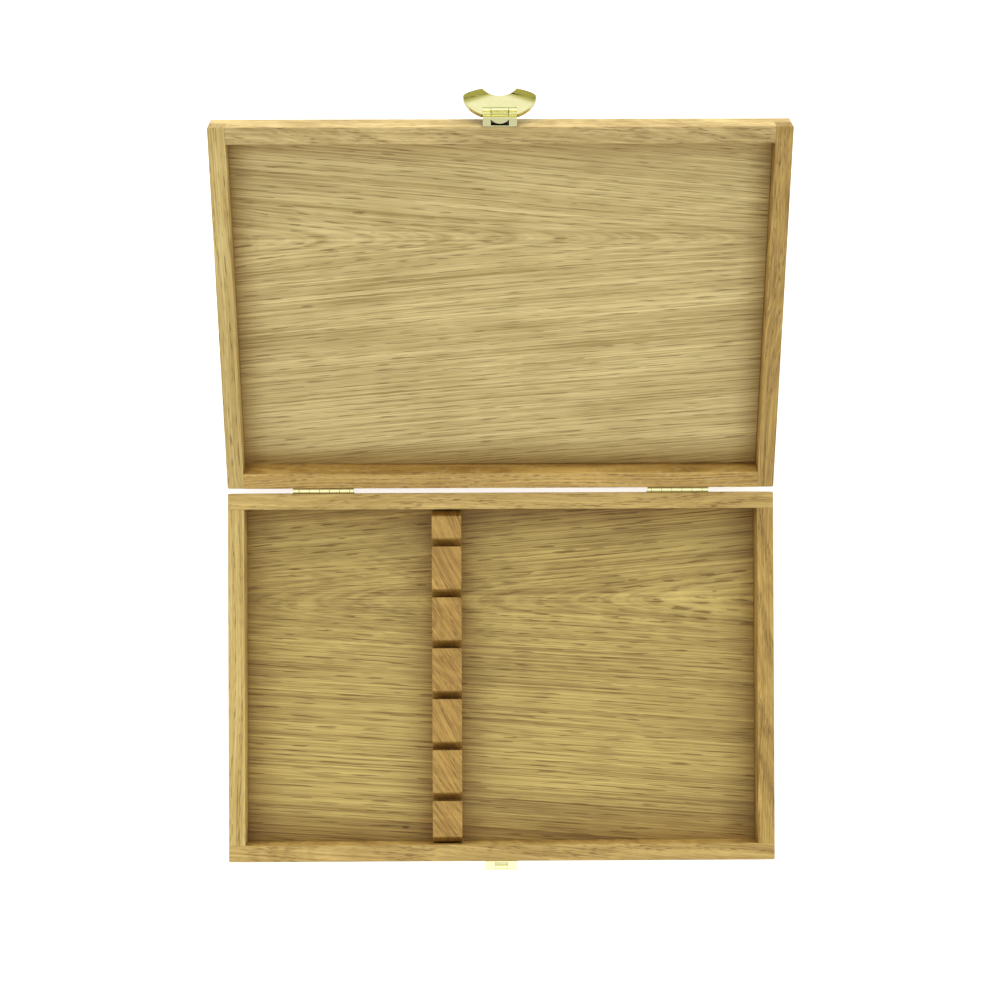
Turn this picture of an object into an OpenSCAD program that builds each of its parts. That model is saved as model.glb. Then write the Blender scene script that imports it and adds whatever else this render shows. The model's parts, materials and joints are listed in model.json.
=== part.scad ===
// Oak box for six table knives: a shallow tray, a hinged lid and a brass clasp.
// The box stands on its floor. The back, with the hinges, faces +Y and the front -Y.
// It is drawn with the lid leaning back and the clasp tab swung up, ready to be filled.

/* [Box] */
// Width over the side walls
box_w = 300; // [240:1:400]
// Depth over the front and back walls
box_d = 202.5; // [190:0.5:300]
// Thickness of the oak walls
wall_t = 9; // [8:0.5:12]
// Radius on the four upright corners
corner_r = 0.8; // [0.3:0.1:2]
// Width of the step in the walls that the floor and the lid panel lie in
rebate_w = 4.5; // [3:0.5:6]

/* [Base tray] */
// Height of the base walls
base_h = 22; // [20:1:45]
// Number of fingers up each corner of the base
base_fingers = 3; // [3:2:7]
// Thickness of the floor panel
floor_t = 4.5; // [3:0.5:6]

/* [Lid] */
// Height of the lid walls
lid_h = 16; // [15:1:40]
// Number of fingers up each corner of the lid
lid_fingers = 2; // [2:2:6]
// Thickness of the lid panel
panel_t = 2.5; // [2:0.5:5]
// Gap between the two rims when the lid is down
rim_gap = 0.2; // [0.1:0.05:0.5]
// Angle that the lid opens to
open_angle = 155; // [145:1:162]

/* [Knife rack] */
// Room for the blades, between the left wall and the rack
blade_room = 102.85; // [70:0.05:130]
// Width of the rack, along the knives
rack_w = 16.3; // [12:0.1:24]
// Height of the rack
rack_h = 14.5; // [12:0.5:17]
// Gap between each end of the rack and the wall
rack_gap = 1; // [0.3:0.1:2]
// Bevel on the upper edge at each end of the rack
rack_bevel = 2.9; // [1:0.1:5]
// Number of knife slots
slot_count = 6; // [2:1:6]
// Distance between neighbouring slots
slot_pitch = 28.06; // [20:0.01:28.5]
// Width of a slot, across its own lean
slot_w = 4.2; // [3:0.1:6]
// Depth of a slot, along its lean
slot_depth = 11; // [8:0.5:12]
// Angle that each slot leans from upright, its foot to the front
slot_lean = 25; // [0:1:30]
// Distance that the row of slots sits behind the middle of the rack
slot_shift = 3.9; // [0:0.1:5]

/* [Hinges] */
// Distance of each hinge's middle from the nearer side of the box
hinge_inset = 52.5; // [30:0.5:90]
// Length of each piece of strip hinge
hinge_len = 33.4; // [28:0.1:40]
// Length of a whole knuckle
knuckle_len = 5.55; // [4:0.05:7]
// Length of the cut knuckle at the hinge's outer end
first_knuckle = 3.5; // [2:0.1:5]
// Gap between neighbouring knuckles
knuckle_gap = 0.15; // [0.1:0.05:0.3]
// Thickness of the brass leaves
leaf_t = 0.65; // [0.5:0.05:0.9]
// Diameter of the hinge pin
hinge_pin_d = 1.2; // [1:0.1:1.6]
// Clearance around each pin
pin_clear = 0.05; // [0.03:0.01:0.08]
// Width of leaf beyond the screws
leaf_edge = 3.2; // [2.6:0.1:3.6]

/* [Hinge screws] */
// Diameter of the round heads
screw_head_d = 4; // [3.4:0.1:4.4]
// Height of the round heads
screw_head_h = 1.6; // [1.4:0.1:1.8]
// Diameter of the shanks
screw_d = 1.8; // [1.4:0.1:2.2]
// Length of the shanks below the head
screw_len = 7.5; // [5:0.5:8]
// Distance between the two screws of a leaf
screw_spacing = 22; // [16:0.5:23]
// Gap between the facing heads when the lid stands open
stop_gap = 0.3; // [0.2:0.05:0.5]

/* [Clasp plates] */
// Distance of the clasp to the right of the middle of the box, less than 0 for the left
clasp_x = -0.4; // [-20:0.1:20]
// Width of the lid bracket and of the base keeper
clasp_w = 17.6; // [16:0.1:22]
// Thickness of the sheet brass
clasp_t = 0.6; // [0.5:0.05:0.8]
// Distance that both shelves stand out from the box
shelf_out = 4.9; // [4.5:0.1:5.4]
// Distance of both shelves from their own rim
shelf_inset = 0.1; // [0.05:0.05:0.3]
// Height of the bracket's plate on the lid
bracket_h = 13.4; // [12.6:0.1:14.5]
// Height of the keeper's plate on the base
keeper_h = 11; // [9:0.1:14]
// Width of the opening in the bracket's shelf
bracket_notch_w = 9.4; // [7:0.1:10]
// Width of the spring tongue in that opening
tongue_w = 8.1; // [6:0.1:9]
// Free length of the spring tongue
tongue_len = 1.9; // [1:0.1:2.4]
// Width of the opening in the keeper's shelf
keeper_notch_w = 7.2; // [7:0.1:9]
// Height of the keeper's folded front
keeper_front = 2.8; // [2.6:0.1:3.2]
// Height of the rail left across the keeper's front
rail_h = 1.8; // [1.2:0.1:2]

/* [Clasp tab] */
// Distance of the tab's pin out from the lid's front
pivot_out = 7.6; // [7.4:0.1:8.2]
// Height of the tab's pin above the lid's rim
pivot_up = 5.9; // [5.5:0.1:6.4]
// Diameter of the tab's pin
tab_pin_d = 0.9; // [0.8:0.05:1.1]
// Width of the tab's own knuckle, between the bracket's two
tab_knuckle_w = 9.1; // [7:0.1:10]
// Thickness of the tab
tab_t = 2.8; // [1.6:0.1:3.2]
// Gap between the tab and the bracket's knuckles
tab_gap = 0.15; // [0.1:0.05:0.25]
// Width of the oval
tab_w = 37.8; // [34:0.1:42]
// Distance of the oval's widest place from the pin, towards the tip
tab_centre = 10.7; // [9.8:0.1:12]
// Height of the oval above its widest place
tab_crown = 6.2; // [5:0.1:8]
// Height of the oval below its widest place
tab_base = 14.7; // [13.4:0.1:16]
// Distance from the pin to the bottom of the thumb notch
notch_at = 10.2; // [9.8:0.1:10.8]
// Radius of the thumb notch
notch_r = 9.4; // [8.6:0.1:11]
// Distance from the pin to the tab's heel, which rests on the bracket when open
heel = 2; // [1.4:0.1:2.4]
// Radius of the flare of the two horns
flare_r = 30; // [22:1:60]
// Slope of the bend line of each horn
flare_slope = 22; // [15:1:26]
// Angle of the open tab from hanging straight down in front of the closed lid
tab_open = 144.5; // [141:0.5:149]
// Angle that the closed tab leans in towards the keeper
tab_lean = 23; // [18:0.5:23]

/* [Clasp nails] */
// Diameter of the nails' shanks
nail_d = 1.1; // [0.9:0.1:1.4]
// Diameter of the nails' heads
nail_head_d = 2.2; // [1.8:0.1:2.6]
// Height of the nails' heads
nail_head_h = 0.5; // [0.3:0.1:0.8]
// Length of the shanks behind the plate
nail_len = 6; // [4:0.5:7]
// Distance between the two nails of a plate
nail_spacing = 11; // [8:0.5:12]
// Distance of the nails from the plate's free edge
nail_edge = 2; // [1.6:0.1:2.4]

/* [Hidden] */
$fn = 64;
eps = 1;

// Places that more than one piece is set by
lid_z = base_h + rim_gap;
pin_bore_d = hinge_pin_d + 2 * pin_clear;
knuckle_r = pin_bore_d / 2 + leaf_t;
pin_y = box_d / 2 + knuckle_r;
pin_z = base_h + rim_gap / 2;
panel_w = box_w - 2 * (wall_t - rebate_w);
panel_d = box_d - 2 * (wall_t - rebate_w);
inner_w = box_w - 2 * wall_t;
inner_d = box_d - 2 * wall_t;
rack_x = -inner_w / 2 + blade_room + rack_w / 2;
hinge_x = box_w / 2 - hinge_inset;

// The hinge screws sit where the round heads of base and lid meet at the open angle
wedge = (180 - open_angle) / 2;
head_r = (pow(screw_head_d / 2, 2) + pow(screw_head_h, 2)) / (2 * screw_head_h);
head_centre = knuckle_r - leaf_t - screw_head_h + head_r;
screw_drop = (head_r + stop_gap / 2 - head_centre * cos(wedge)) / sin(wedge);
leaf_w = screw_drop + leaf_edge;

// The strip hinge is cut from a longer one, so its end knuckles are part ones
knuckles = 1 + ceil((hinge_len - first_knuckle) / knuckle_len - 0.01);
function knuckle_from(i) = i == 0 ? 0 : first_knuckle + (i - 1) * knuckle_len;
function knuckle_to(i) = min(first_knuckle + i * knuckle_len, hinge_len);

// The clasp, seen from its side: first value out from the box, second up from the rim
tab_bore_d = tab_pin_d + 2 * pin_clear;
barrel_r = tab_bore_d / 2 + clasp_t;
neck_lean = 180 - tab_open;
neck_dir = [sin(neck_lean), cos(neck_lean)];
neck_top = [
    pivot_out - (barrel_r - clasp_t / 2) * cos(neck_lean),
    pivot_up + (barrel_r - clasp_t / 2) * sin(neck_lean)
];
neck_foot = neck_top - neck_dir * (heel + 0.6);
shelf_mid = shelf_inset + clasp_t / 2;
bracket_path = [
    [clasp_t / 2, bracket_h],
    [clasp_t / 2, shelf_mid],
    [shelf_out - clasp_t / 2, shelf_mid],
    neck_foot,
    neck_top
];

// The box side of the tab, and the closed keeper's floor
plate_in = barrel_r + tab_gap;
keeper_floor = clasp_t / 2 - keeper_front;
keeper_path = [
    [clasp_t / 2, -keeper_h],
    [clasp_t / 2, -shelf_mid],
    [shelf_out - clasp_t / 2, -shelf_mid],
    [shelf_out - clasp_t / 2, keeper_floor],
    [clasp_t * 2.2, keeper_floor]
];
ramp_path = [
    [clasp_t / 2, -shelf_mid],
    [clasp_t * 1.6, -shelf_mid - 0.1],
    [shelf_out * 0.42, -shelf_mid - 0.8],
    [shelf_out * 0.52, keeper_floor + clasp_t]
];

oak_side = "#c9a16a";
oak_front = "#d2ac75";
oak_sheet = "#bd9358";
oak_rack = "#c6a06a";
brass = "#d9c05a";
brass_dark = "#b59a3c";

// Draws its children, made for the closed lid, in the open lid's place
module on_lid() {
    translate([0, pin_y, pin_z])
        rotate([-open_angle, 0, 0])
            translate([0, -pin_y, -pin_z])
                children();
}

// Extrudes a side view, with y to the back and z up, along the width of the box
module across(w) {
    rotate([90, 0, 90])
        linear_extrude(w, center = true)
            children();
}

// Extrudes a side view of the clasp, with its first value out from the box's front
module clasp_extrude(w, rim) {
    translate([clasp_x, -box_d / 2, rim])
        across(w)
            mirror([1, 0])
                children();
}

// A strip of sheet metal along a path, with rounded bends
module sheet_path(path, t) {
    for (i = [0 : len(path) - 2]) {
        step = path[i + 1] - path[i];
        translate(path[i])
            rotate(atan2(step[1], step[0]))
                translate([0, -t / 2])
                    square([norm(step), t]);
        if (i > 0)
            translate(path[i])
                circle(d = t);
    }
}

// The upright outline of the whole box, with its corners eased
module box_outline() {
    square([box_w - 2 * corner_r, box_d], center = true);
    square([box_w, box_d - 2 * corner_r], center = true);
    for (x = [-1, 1], y = [-1, 1])
        translate([x * (box_w / 2 - corner_r), y * (box_d / 2 - corner_r)])
            circle(r = corner_r);
}

// Keeps a wall inside the outline and cuts the step that a panel lies in
module eased(z0, h, panel_z, t) {
    difference() {
        intersection() {
            children();
            translate([0, 0, z0])
                linear_extrude(h)
                    box_outline();
        }
        translate([-panel_w / 2, -panel_d / 2, panel_z])
            cube([panel_w, panel_d, t]);
    }
}

// A wall between the corners (core), with the fingers that it owns run out to full length
module fingered(core, full, h, fingers, own) {
    step = h / fingers;
    translate([-core[0] / 2, -core[1] / 2, 0])
        cube([core[0], core[1], h]);
    for (i = [0 : fingers - 1])
        if (i % 2 == own)
            translate([-full[0] / 2, -full[1] / 2, i * step])
                cube([full[0], full[1], step]);
}

// A wall that runs along X, at the front (side = -1) or back (side = 1)
module long_wall(side, z0, h, fingers, own) {
    translate([0, side * (box_d - wall_t) / 2, z0])
        fingered([inner_w, wall_t], [box_w, wall_t], h, fingers, own);
}

// A wall that runs along Y, at the left (side = -1) or right (side = 1)
module short_wall(side, z0, h, fingers, own) {
    translate([side * (box_w - wall_t) / 2, 0, z0])
        fingered([wall_t, inner_d], [wall_t, box_d], h, fingers, 1 - own);
}

// The middle of each hinge screw, seen from behind, on the base (up = -1) or lid (up = 1)
module at_screws(up) {
    for (side = [-1, 1], x = [-1, 1])
        translate([side * hinge_x + x * screw_spacing / 2, box_d / 2, pin_z + up * screw_drop])
            children();
}

// A round-headed screw whose head lies on a leaf and whose shank runs into the wall
module hinge_screw() {
    rotate([-90, 0, 0]) {
        translate([0, 0, leaf_t - screw_len])
            cylinder(h = screw_len, d = screw_d);
        difference() {
            intersection() {
                translate([0, 0, leaf_t + screw_head_h - head_r])
                    sphere(r = head_r);
                translate([0, 0, leaf_t])
                    cylinder(h = screw_head_h + eps, d = screw_head_d + eps);
            }
            translate([0, 0, leaf_t + screw_head_h])
                cube([screw_head_d + eps, 0.6, screw_head_h], center = true);
        }
    }
}

// The hole that a hinge screw leaves in what it passes through
module screw_hole() {
    rotate([-90, 0, 0])
        translate([0, 0, -screw_len])
            cylinder(h = screw_len + leaf_t + eps, d = screw_d + 2 * pin_clear);
}

// One leaf of a strip hinge, flat on the back of the base (up = -1) or lid (up = 1)
module hinge_leaf(side, up) {
    first = up < 0 ? 0 : 1;
    difference() {
        translate([side * hinge_x, pin_y, pin_z])
            mirror([side < 0 ? 0 : 1, 0, 0])
                translate([-hinge_len / 2, 0, 0]) {
                    relief = knuckle_r + knuckle_gap;
                    translate([0, -knuckle_r, up > 0 ? relief : -leaf_w])
                        cube([hinge_len, leaf_t, leaf_w - relief]);
                    for (i = [first : 2 : knuckles - 1])
                        hinge_knuckle(knuckle_from(i), knuckle_to(i), up, relief);
                }
        at_screws(up)
            screw_hole();
    }
}

// One rolled knuckle with the strip of leaf that it grows from
module hinge_knuckle(x0, x1, up, relief) {
    a = x0 == 0 ? 0 : x0 + knuckle_gap / 2;
    b = x1 == hinge_len ? hinge_len : x1 - knuckle_gap / 2;
    translate([a, 0, 0])
        rotate([90, 0, 90])
            linear_extrude(b - a)
                difference() {
                    union() {
                        circle(r = knuckle_r);
                        translate([-knuckle_r, up > 0 ? 0 : -relief])
                            square([leaf_t, relief]);
                    }
                    circle(d = pin_bore_d);
                }
}

// The pin through all knuckles of one hinge
module hinge_pin(side) {
    translate([side * hinge_x, pin_y, pin_z])
        rotate([0, 90, 0])
            cylinder(h = hinge_len, d = hinge_pin_d, center = true);
}

// A pair of nails at a height above (or below) a rim of the box's front
module at_nails(rim, up) {
    for (x = [-1, 1])
        translate([clasp_x + x * nail_spacing / 2, -box_d / 2, rim + up])
            rotate([90, 0, 0])
                children();
}

// A nail through a clasp plate into the wall behind it
module clasp_nail() {
    translate([0, 0, -nail_len])
        cylinder(h = nail_len + clasp_t, d = nail_d);
    translate([0, 0, clasp_t])
        cylinder(h = nail_head_h, d = nail_head_d);
}

// The hole for a nail
module nail_hole() {
    translate([0, 0, -nail_len])
        cylinder(h = nail_len + clasp_t + eps, d = nail_d + 2 * pin_clear);
}

// The opening in the bracket's shelf, with the round-ended tongue left standing in it
module bracket_opening() {
    root = shelf_out - clasp_t - 0.8;
    bow = tongue_len * 0.85;
    bow_r = (pow(tongue_w / 2, 2) + pow(bow, 2)) / (2 * bow);
    difference() {
        translate([-bracket_notch_w / 2, clasp_t])
            square([bracket_notch_w, root - clasp_t]);
        intersection() {
            translate([-tongue_w / 2, root - tongue_len])
                square([tongue_w, 2 * tongue_len]);
            translate([0, root - tongue_len + bow_r])
                circle(r = bow_r, $fn = 96);
        }
    }
}

// Outline of the tab, with its tip towards +Y and its pin at the origin
module tab_outline() {
    difference() {
        translate([0, tab_centre])
            polygon([
                for (a = [2.5 : 5 : 360])
                    [tab_w / 2 * cos(a), (a < 180 ? tab_crown : tab_base) * sin(a)]
            ]);
        translate([0, notch_at + notch_r])
            circle(r = notch_r);
        translate([-clasp_w / 2 - 2 * tab_gap, -tab_w])
            square([clasp_w + 4 * tab_gap, tab_w - heel]);
    }
}

// A sheet that lies flat up to the bend line of one horn and flares outwards past it
module flared_sheet() {
    translate([0, notch_at - 0.4, 0])
        rotate([0, 0, -flare_slope])
            rotate([90, 0, 90])
                linear_extrude(3 * tab_w, center = true) {
                    translate([-tab_w, 0])
                        square([tab_w, tab_t]);
                    intersection() {
                        translate([0, flare_r])
                            difference() {
                                circle(r = flare_r, $fn = 180);
                                circle(r = flare_r - tab_t, $fn = 180);
                            }
                        square([flare_r * 0.85, flare_r * 0.75]);
                    }
                }
}

// The tab in its own frame: tip towards +Y, box side at z = 0, outside towards +Z
module tab_shape() {
    difference() {
        union() {
            for (side = [0, 1])
                mirror([side, 0, 0])
                    intersection() {
                        flared_sheet();
                        linear_extrude(flare_r)
                            intersection() {
                                tab_outline();
                                translate([0, -tab_w])
                                    square([tab_w, 2 * tab_w]);
                            }
                    }
            translate([0, 0, -plate_in])
                rotate([0, 90, 0])
                    cylinder(h = tab_knuckle_w, r = barrel_r, center = true);
            translate([-tab_knuckle_w / 2, -barrel_r * 0.8, -plate_in])
                cube([tab_knuckle_w, barrel_r * 1.6, plate_in + tab_t / 2]);
        }
        translate([0, 0, -plate_in])
            rotate([0, 90, 0])
                cylinder(h = tab_knuckle_w + eps, d = tab_bore_d, center = true);
    }
}

module base_front_wall() {
    color(oak_front)
        difference() {
            eased(0, base_h, 0, floor_t)
                long_wall(-1, 0, base_h, base_fingers, 0);
            at_nails(base_h, nail_edge - keeper_h)
                nail_hole();
        }
}

module base_back_wall() {
    color(oak_front)
        difference() {
            eased(0, base_h, 0, floor_t)
                long_wall(1, 0, base_h, base_fingers, 0);
            at_screws(-1)
                screw_hole();
        }
}

module base_left_wall() {
    color(oak_side)
        eased(0, base_h, 0, floor_t)
            short_wall(-1, 0, base_h, base_fingers, 0);
}

module base_right_wall() {
    color(oak_side)
        eased(0, base_h, 0, floor_t)
            short_wall(1, 0, base_h, base_fingers, 0);
}

module base_floor() {
    color(oak_sheet)
        translate([-panel_w / 2, -panel_d / 2, 0])
            cube([panel_w, panel_d, floor_t]);
}

module knife_rack() {
    len = inner_d - 2 * rack_gap;
    color(oak_rack)
        translate([rack_x, 0, floor_t])
            across(rack_w)
                difference() {
                    polygon([
                        [-len / 2, 0],
                        [len / 2, 0],
                        [len / 2, rack_h - rack_bevel],
                        [len / 2 - rack_bevel, rack_h],
                        [-len / 2 + rack_bevel, rack_h],
                        [-len / 2, rack_h - rack_bevel]
                    ]);
                    for (i = [0 : slot_count - 1])
                        translate([slot_shift + (i - (slot_count - 1) / 2) * slot_pitch, rack_h])
                            rotate(-slot_lean)
                                square([slot_w, 2 * slot_depth], center = true);
                }
}

module left_hinge_base_leaf() {
    color(brass)
        hinge_leaf(-1, -1);
}

module right_hinge_base_leaf() {
    color(brass)
        hinge_leaf(1, -1);
}

module left_hinge_pin() {
    color(brass_dark)
        hinge_pin(-1);
}

module right_hinge_pin() {
    color(brass_dark)
        hinge_pin(1);
}

module base_hinge_screws() {
    color(brass_dark)
        at_screws(-1)
            hinge_screw();
}

module clasp_keeper() {
    notch = keeper_notch_w;
    color(brass)
        difference() {
            clasp_extrude(clasp_w, base_h)
                sheet_path(keeper_path, clasp_t);
            translate([clasp_x - notch / 2, -box_d / 2 - shelf_out - eps, base_h - keeper_front + rail_h])
                cube([notch, shelf_out + eps - clasp_t, keeper_front - rail_h + eps]);
            at_nails(base_h, nail_edge - keeper_h)
                nail_hole();
        }
    color(brass)
        clasp_extrude(notch - 2 * tab_gap, base_h)
            sheet_path(ramp_path, clasp_t);
}

module keeper_nails() {
    color(brass_dark)
        at_nails(base_h, nail_edge - keeper_h)
            clasp_nail();
}

module lid_front_wall() {
    color(oak_front)
        on_lid()
            difference() {
                eased(lid_z, lid_h, lid_z + lid_h - panel_t, panel_t)
                    long_wall(-1, lid_z, lid_h, lid_fingers, 1);
                at_nails(lid_z, bracket_h - nail_edge)
                    nail_hole();
            }
}

module lid_back_wall() {
    color(oak_front)
        on_lid()
            difference() {
                eased(lid_z, lid_h, lid_z + lid_h - panel_t, panel_t)
                    long_wall(1, lid_z, lid_h, lid_fingers, 1);
                at_screws(1)
                    screw_hole();
            }
}

module lid_left_wall() {
    color(oak_side)
        on_lid()
            eased(lid_z, lid_h, lid_z + lid_h - panel_t, panel_t)
                short_wall(-1, lid_z, lid_h, lid_fingers, 1);
}

module lid_right_wall() {
    color(oak_side)
        on_lid()
            eased(lid_z, lid_h, lid_z + lid_h - panel_t, panel_t)
                short_wall(1, lid_z, lid_h, lid_fingers, 1);
}

module lid_panel() {
    color(oak_sheet)
        on_lid()
            translate([-panel_w / 2, -panel_d / 2, lid_z + lid_h - panel_t])
                cube([panel_w, panel_d, panel_t]);
}

module left_hinge_lid_leaf() {
    color(brass)
        on_lid()
            hinge_leaf(-1, 1);
}

module right_hinge_lid_leaf() {
    color(brass)
        on_lid()
            hinge_leaf(1, 1);
}

module lid_hinge_screws() {
    color(brass_dark)
        on_lid()
            at_screws(1)
                hinge_screw();
}

module clasp_bracket() {
    gap = tab_knuckle_w / 2 + tab_gap;
    low = barrel_r + 2 * tab_gap;
    color(brass)
        on_lid()
            difference() {
                clasp_extrude(clasp_w, lid_z) {
                    sheet_path(bracket_path, clasp_t);
                    translate([pivot_out, pivot_up])
                        circle(r = barrel_r);
                }
                clasp_extrude(clasp_w + eps, lid_z)
                    translate([pivot_out, pivot_up])
                        circle(d = tab_bore_d);
                translate([clasp_x - gap, -box_d / 2 - pivot_out - 2 * barrel_r, lid_z + pivot_up - low])
                    cube([2 * gap, 5 * barrel_r, low + bracket_h]);
                translate([clasp_x, -box_d / 2, lid_z - eps])
                    mirror([0, 1, 0])
                        linear_extrude(shelf_mid + clasp_t + eps)
                            bracket_opening();
                at_nails(lid_z, bracket_h - nail_edge)
                    nail_hole();
            }
}

module bracket_nails() {
    color(brass_dark)
        on_lid()
            at_nails(lid_z, bracket_h - nail_edge)
                clasp_nail();
}

module clasp_pin() {
    color(brass_dark)
        on_lid()
            translate([clasp_x, -box_d / 2 - pivot_out, lid_z + pivot_up])
                rotate([0, 90, 0])
                    cylinder(h = clasp_w, d = tab_pin_d, center = true);
}

module clasp_tab() {
    color(brass)
        on_lid()
            translate([clasp_x, -box_d / 2 - pivot_out, lid_z + pivot_up])
                rotate([-tab_open, 0, 0])
                    rotate([90, 0, 0])
                        mirror([0, 1, 0])
                            translate([0, 0, plate_in])
                                tab_shape();
}

base_front_wall();
base_back_wall();
base_left_wall();
base_right_wall();
base_floor();
knife_rack();
left_hinge_base_leaf();
right_hinge_base_leaf();
left_hinge_pin();
right_hinge_pin();
base_hinge_screws();
clasp_keeper();
keeper_nails();
lid_front_wall();
lid_back_wall();
lid_left_wall();
lid_right_wall();
lid_panel();
left_hinge_lid_leaf();
right_hinge_lid_leaf();
lid_hinge_screws();
clasp_bracket();
bracket_nails();
clasp_pin();
clasp_tab();
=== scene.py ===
"""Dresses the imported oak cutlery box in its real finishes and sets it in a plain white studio.

Every length below is in millimetres in the box's own frame, unless it says metres.
"""

import json
import logging
import math
from collections.abc import Callable
from dataclasses import dataclass, field, replace
from enum import Enum
from typing import Any

import bmesh
import bpy
from mathutils import Euler, Matrix, Vector


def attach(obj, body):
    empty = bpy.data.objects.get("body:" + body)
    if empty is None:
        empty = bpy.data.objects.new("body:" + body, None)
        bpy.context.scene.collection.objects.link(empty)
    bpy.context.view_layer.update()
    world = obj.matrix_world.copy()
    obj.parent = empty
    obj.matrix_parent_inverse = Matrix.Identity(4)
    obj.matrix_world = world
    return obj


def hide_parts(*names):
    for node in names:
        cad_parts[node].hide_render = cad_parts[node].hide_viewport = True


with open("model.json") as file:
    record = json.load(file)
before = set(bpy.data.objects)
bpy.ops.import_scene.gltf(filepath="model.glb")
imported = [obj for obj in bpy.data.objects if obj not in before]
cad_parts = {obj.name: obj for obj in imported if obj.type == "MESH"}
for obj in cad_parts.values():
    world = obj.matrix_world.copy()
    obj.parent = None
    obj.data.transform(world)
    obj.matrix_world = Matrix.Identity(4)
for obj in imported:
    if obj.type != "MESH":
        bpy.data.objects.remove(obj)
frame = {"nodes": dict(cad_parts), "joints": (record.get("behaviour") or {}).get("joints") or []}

MM = 0.001
# Points closer than this are one point
WELD = 0.002
# Places closer than this lie in one plane
FLUSH = 0.01
# Faces that meet at less than this are one flat face
FLAT = math.radians(0.5)
# Faces that meet at less than this are one rounded surface
SMOOTH = math.radians(28)
# How far apart the noises of two boards lie
SEED_STEP = 7.3
log = logging.getLogger("cutlery_box")
Colour = tuple[float, float, float, float]
Triple = tuple[float, float, float]


def linear(code: str) -> Colour:
    """Turns an sRGB hex colour into linear red, green, blue and alpha."""
    parts = [int(code[i:i + 2], 16) / 255 for i in (1, 3, 5)]
    red, green, blue = (c / 12.92 if c <= 0.04045 else ((c + 0.055) / 1.055) ** 2.4 for c in parts)
    return red, green, blue, 1.0


def add_node(tree: bpy.types.NodeTree, kind: str, inputs: dict[int | str, Any] | None = None,
             out: int | str = 0, stops: list[tuple[float, Any]] | None = None,
             **settings: Any) -> bpy.types.NodeSocket:
    """Adds one node with its settings, values and links.

    Args:
        tree: The node tree that it goes into.
        kind: The node's type, without the word ShaderNode.
        inputs: For each input, by index or name, a value or another node's output.
        out: Index or name of the output that is handed back.
        stops: For a colour ramp, the place and the grey value or colour of each stop.
        settings: The node's own properties.

    Returns:
        The output socket, ready to be linked on, or the first input where the node has no output.
    """
    node = tree.nodes.new("ShaderNode" + kind)
    for name, value in settings.items():
        setattr(node, name, value)
    for key, value in (inputs or {}).items():
        if isinstance(value, bpy.types.NodeSocket):
            tree.links.new(value, node.inputs[key])
        else:
            node.inputs[key].default_value = value
    for i, (place, shade) in enumerate(stops or []):
        point = node.color_ramp.elements[i] if i < 2 else node.color_ramp.elements.new(place)
        point.position = place
        point.color = shade if isinstance(shade, tuple) else (shade, shade, shade, 1.0)
    return node.outputs[out] if node.outputs else node.inputs[0]


def new_tree(name: str) -> tuple[bpy.types.Material, bpy.types.NodeTree]:
    """Makes an empty material and hands back it and its node tree."""
    material = bpy.data.materials.new(name)
    material.use_nodes = True
    material.node_tree.nodes.clear()
    return material, material.node_tree


class Grain(Enum):
    """The way that a board's grain runs in the closed box, as a turn about Z into its own frame."""

    ALONG_X = 0.0
    ALONG_Y = -90.0


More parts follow.
